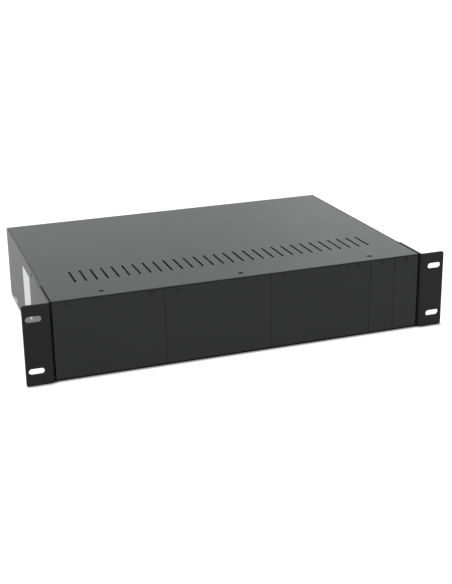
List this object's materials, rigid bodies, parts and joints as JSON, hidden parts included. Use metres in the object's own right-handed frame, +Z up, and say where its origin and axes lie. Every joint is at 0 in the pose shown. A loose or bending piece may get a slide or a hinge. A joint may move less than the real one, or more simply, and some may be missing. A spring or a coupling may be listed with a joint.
{
  "type": "media converter chassis",
  "caption": "Two-unit rack chassis for plug-in media converters: folded steel case, slotted top, blank covers, rack ears, rear supply bays and fans.",
  "frame": {"origin": "middle of the body's underside, halfway between the faces of the blank covers and the back edge of the top", "axes": "+X to the right seen from the front, +Y from the front to the rear, +Z up"},
  "size_m": [0.4826, 0.2963, 0.0881],
  "materials": {
    "black_coat": "fine satin black powder coat on steel sheet",
    "zinc_steel": "dull zinc-plated steel sheet",
    "board_green": "green lacquered circuit board",
    "black_moulding": "black moulded plastic",
    "brass_part": "plain brass",
    "transformer_core": "varnished core and winding",
    "capacitor_sleeve": "shrunk dark sleeve",
    "black_screw": "black oxide",
    "bright_screw": "bright zinc"
  },
  "bodies": {
    "chassis": {"backplane_board": "board_green", "base_tray": "black_coat", "bay_cover": "black_coat", "bay_face_screws": "black_screw", "blank_cover_screws": "black_screw", "board_screws": "bright_screw", "board_standoffs": "brass_part", "dc_plug_1": "black_moulding", "dc_plug_10": "black_moulding", "dc_plug_11": "black_moulding", "dc_plug_12": "black_moulding", "dc_plug_13": "black_moulding", "dc_plug_14": "black_moulding", "dc_plug_2": "black_moulding", "dc_plug_3": "black_moulding", "dc_plug_4": "black_moulding", "dc_plug_5": "black_moulding", "dc_plug_6": "black_moulding", "dc_plug_7": "black_moulding", "dc_plug_8": "black_moulding", "dc_plug_9": "black_moulding", "fan_frame_1": "black_moulding", "fan_frame_2": "black_moulding", "fan_guard_1": "zinc_steel", "fan_guard_2": "zinc_steel", "fan_screws": "black_screw", "front_rail": "black_coat", "inlet_contacts": "brass_part", "lower_guide": "zinc_steel", "lower_ribs": "zinc_steel", "mains_inlet": "black_moulding", "plug_wall": "zinc_steel", "power_switch": "black_moulding", "rack_ear_left": "black_coat", "rack_ear_right": "black_coat", "rack_ear_screws": "black_screw", "rear_panel": "black_coat", "rear_panel_screws": "black_screw", "side_cover_screws": "black_screw", "single_blank_cover_1": "black_coat", "single_blank_cover_2": "black_coat", "supply_board": "board_green", "supply_capacitor_1": "capacitor_sleeve", "supply_capacitor_2": "capacitor_sleeve", "supply_case": "zinc_steel", "supply_face": "black_coat", "supply_lid": "zinc_steel", "supply_socket_1": "black_moulding", "supply_socket_2": "black_moulding", "supply_transformer": "transformer_core", "top_cover": "black_coat", "top_cover_screws": "black_screw", "upper_guide": "zinc_steel", "upper_ribs": "zinc_steel", "wide_blank_cover_1": "black_coat", "wide_blank_cover_2": "black_coat", "wide_blank_cover_3": "black_coat"},
    "rotor_1": {"fan_rotor_1": "black_moulding"},
    "rotor_2": {"fan_rotor_2": "black_moulding"},
    "rocker": {"power_rocker": "black_moulding"}
  },
  "joints": [
    {"name": "fan_1_spin", "type": "hinge", "parent": "chassis", "child": "rotor_1", "pos_m": [-0.04, 0.13, 0.038], "axis": [0, 1, 0], "continuous": true},
    {"name": "fan_2_spin", "type": "hinge", "parent": "chassis", "child": "rotor_2", "pos_m": [0.04, 0.13, 0.038], "axis": [0, 1, 0], "continuous": true},
    {"name": "switch_rock", "type": "hinge", "parent": "chassis", "child": "rocker", "pos_m": [0.124, 0.1448, 0.0324], "axis": [1, 0, 0], "range_deg": [0, 14]}
  ]
}
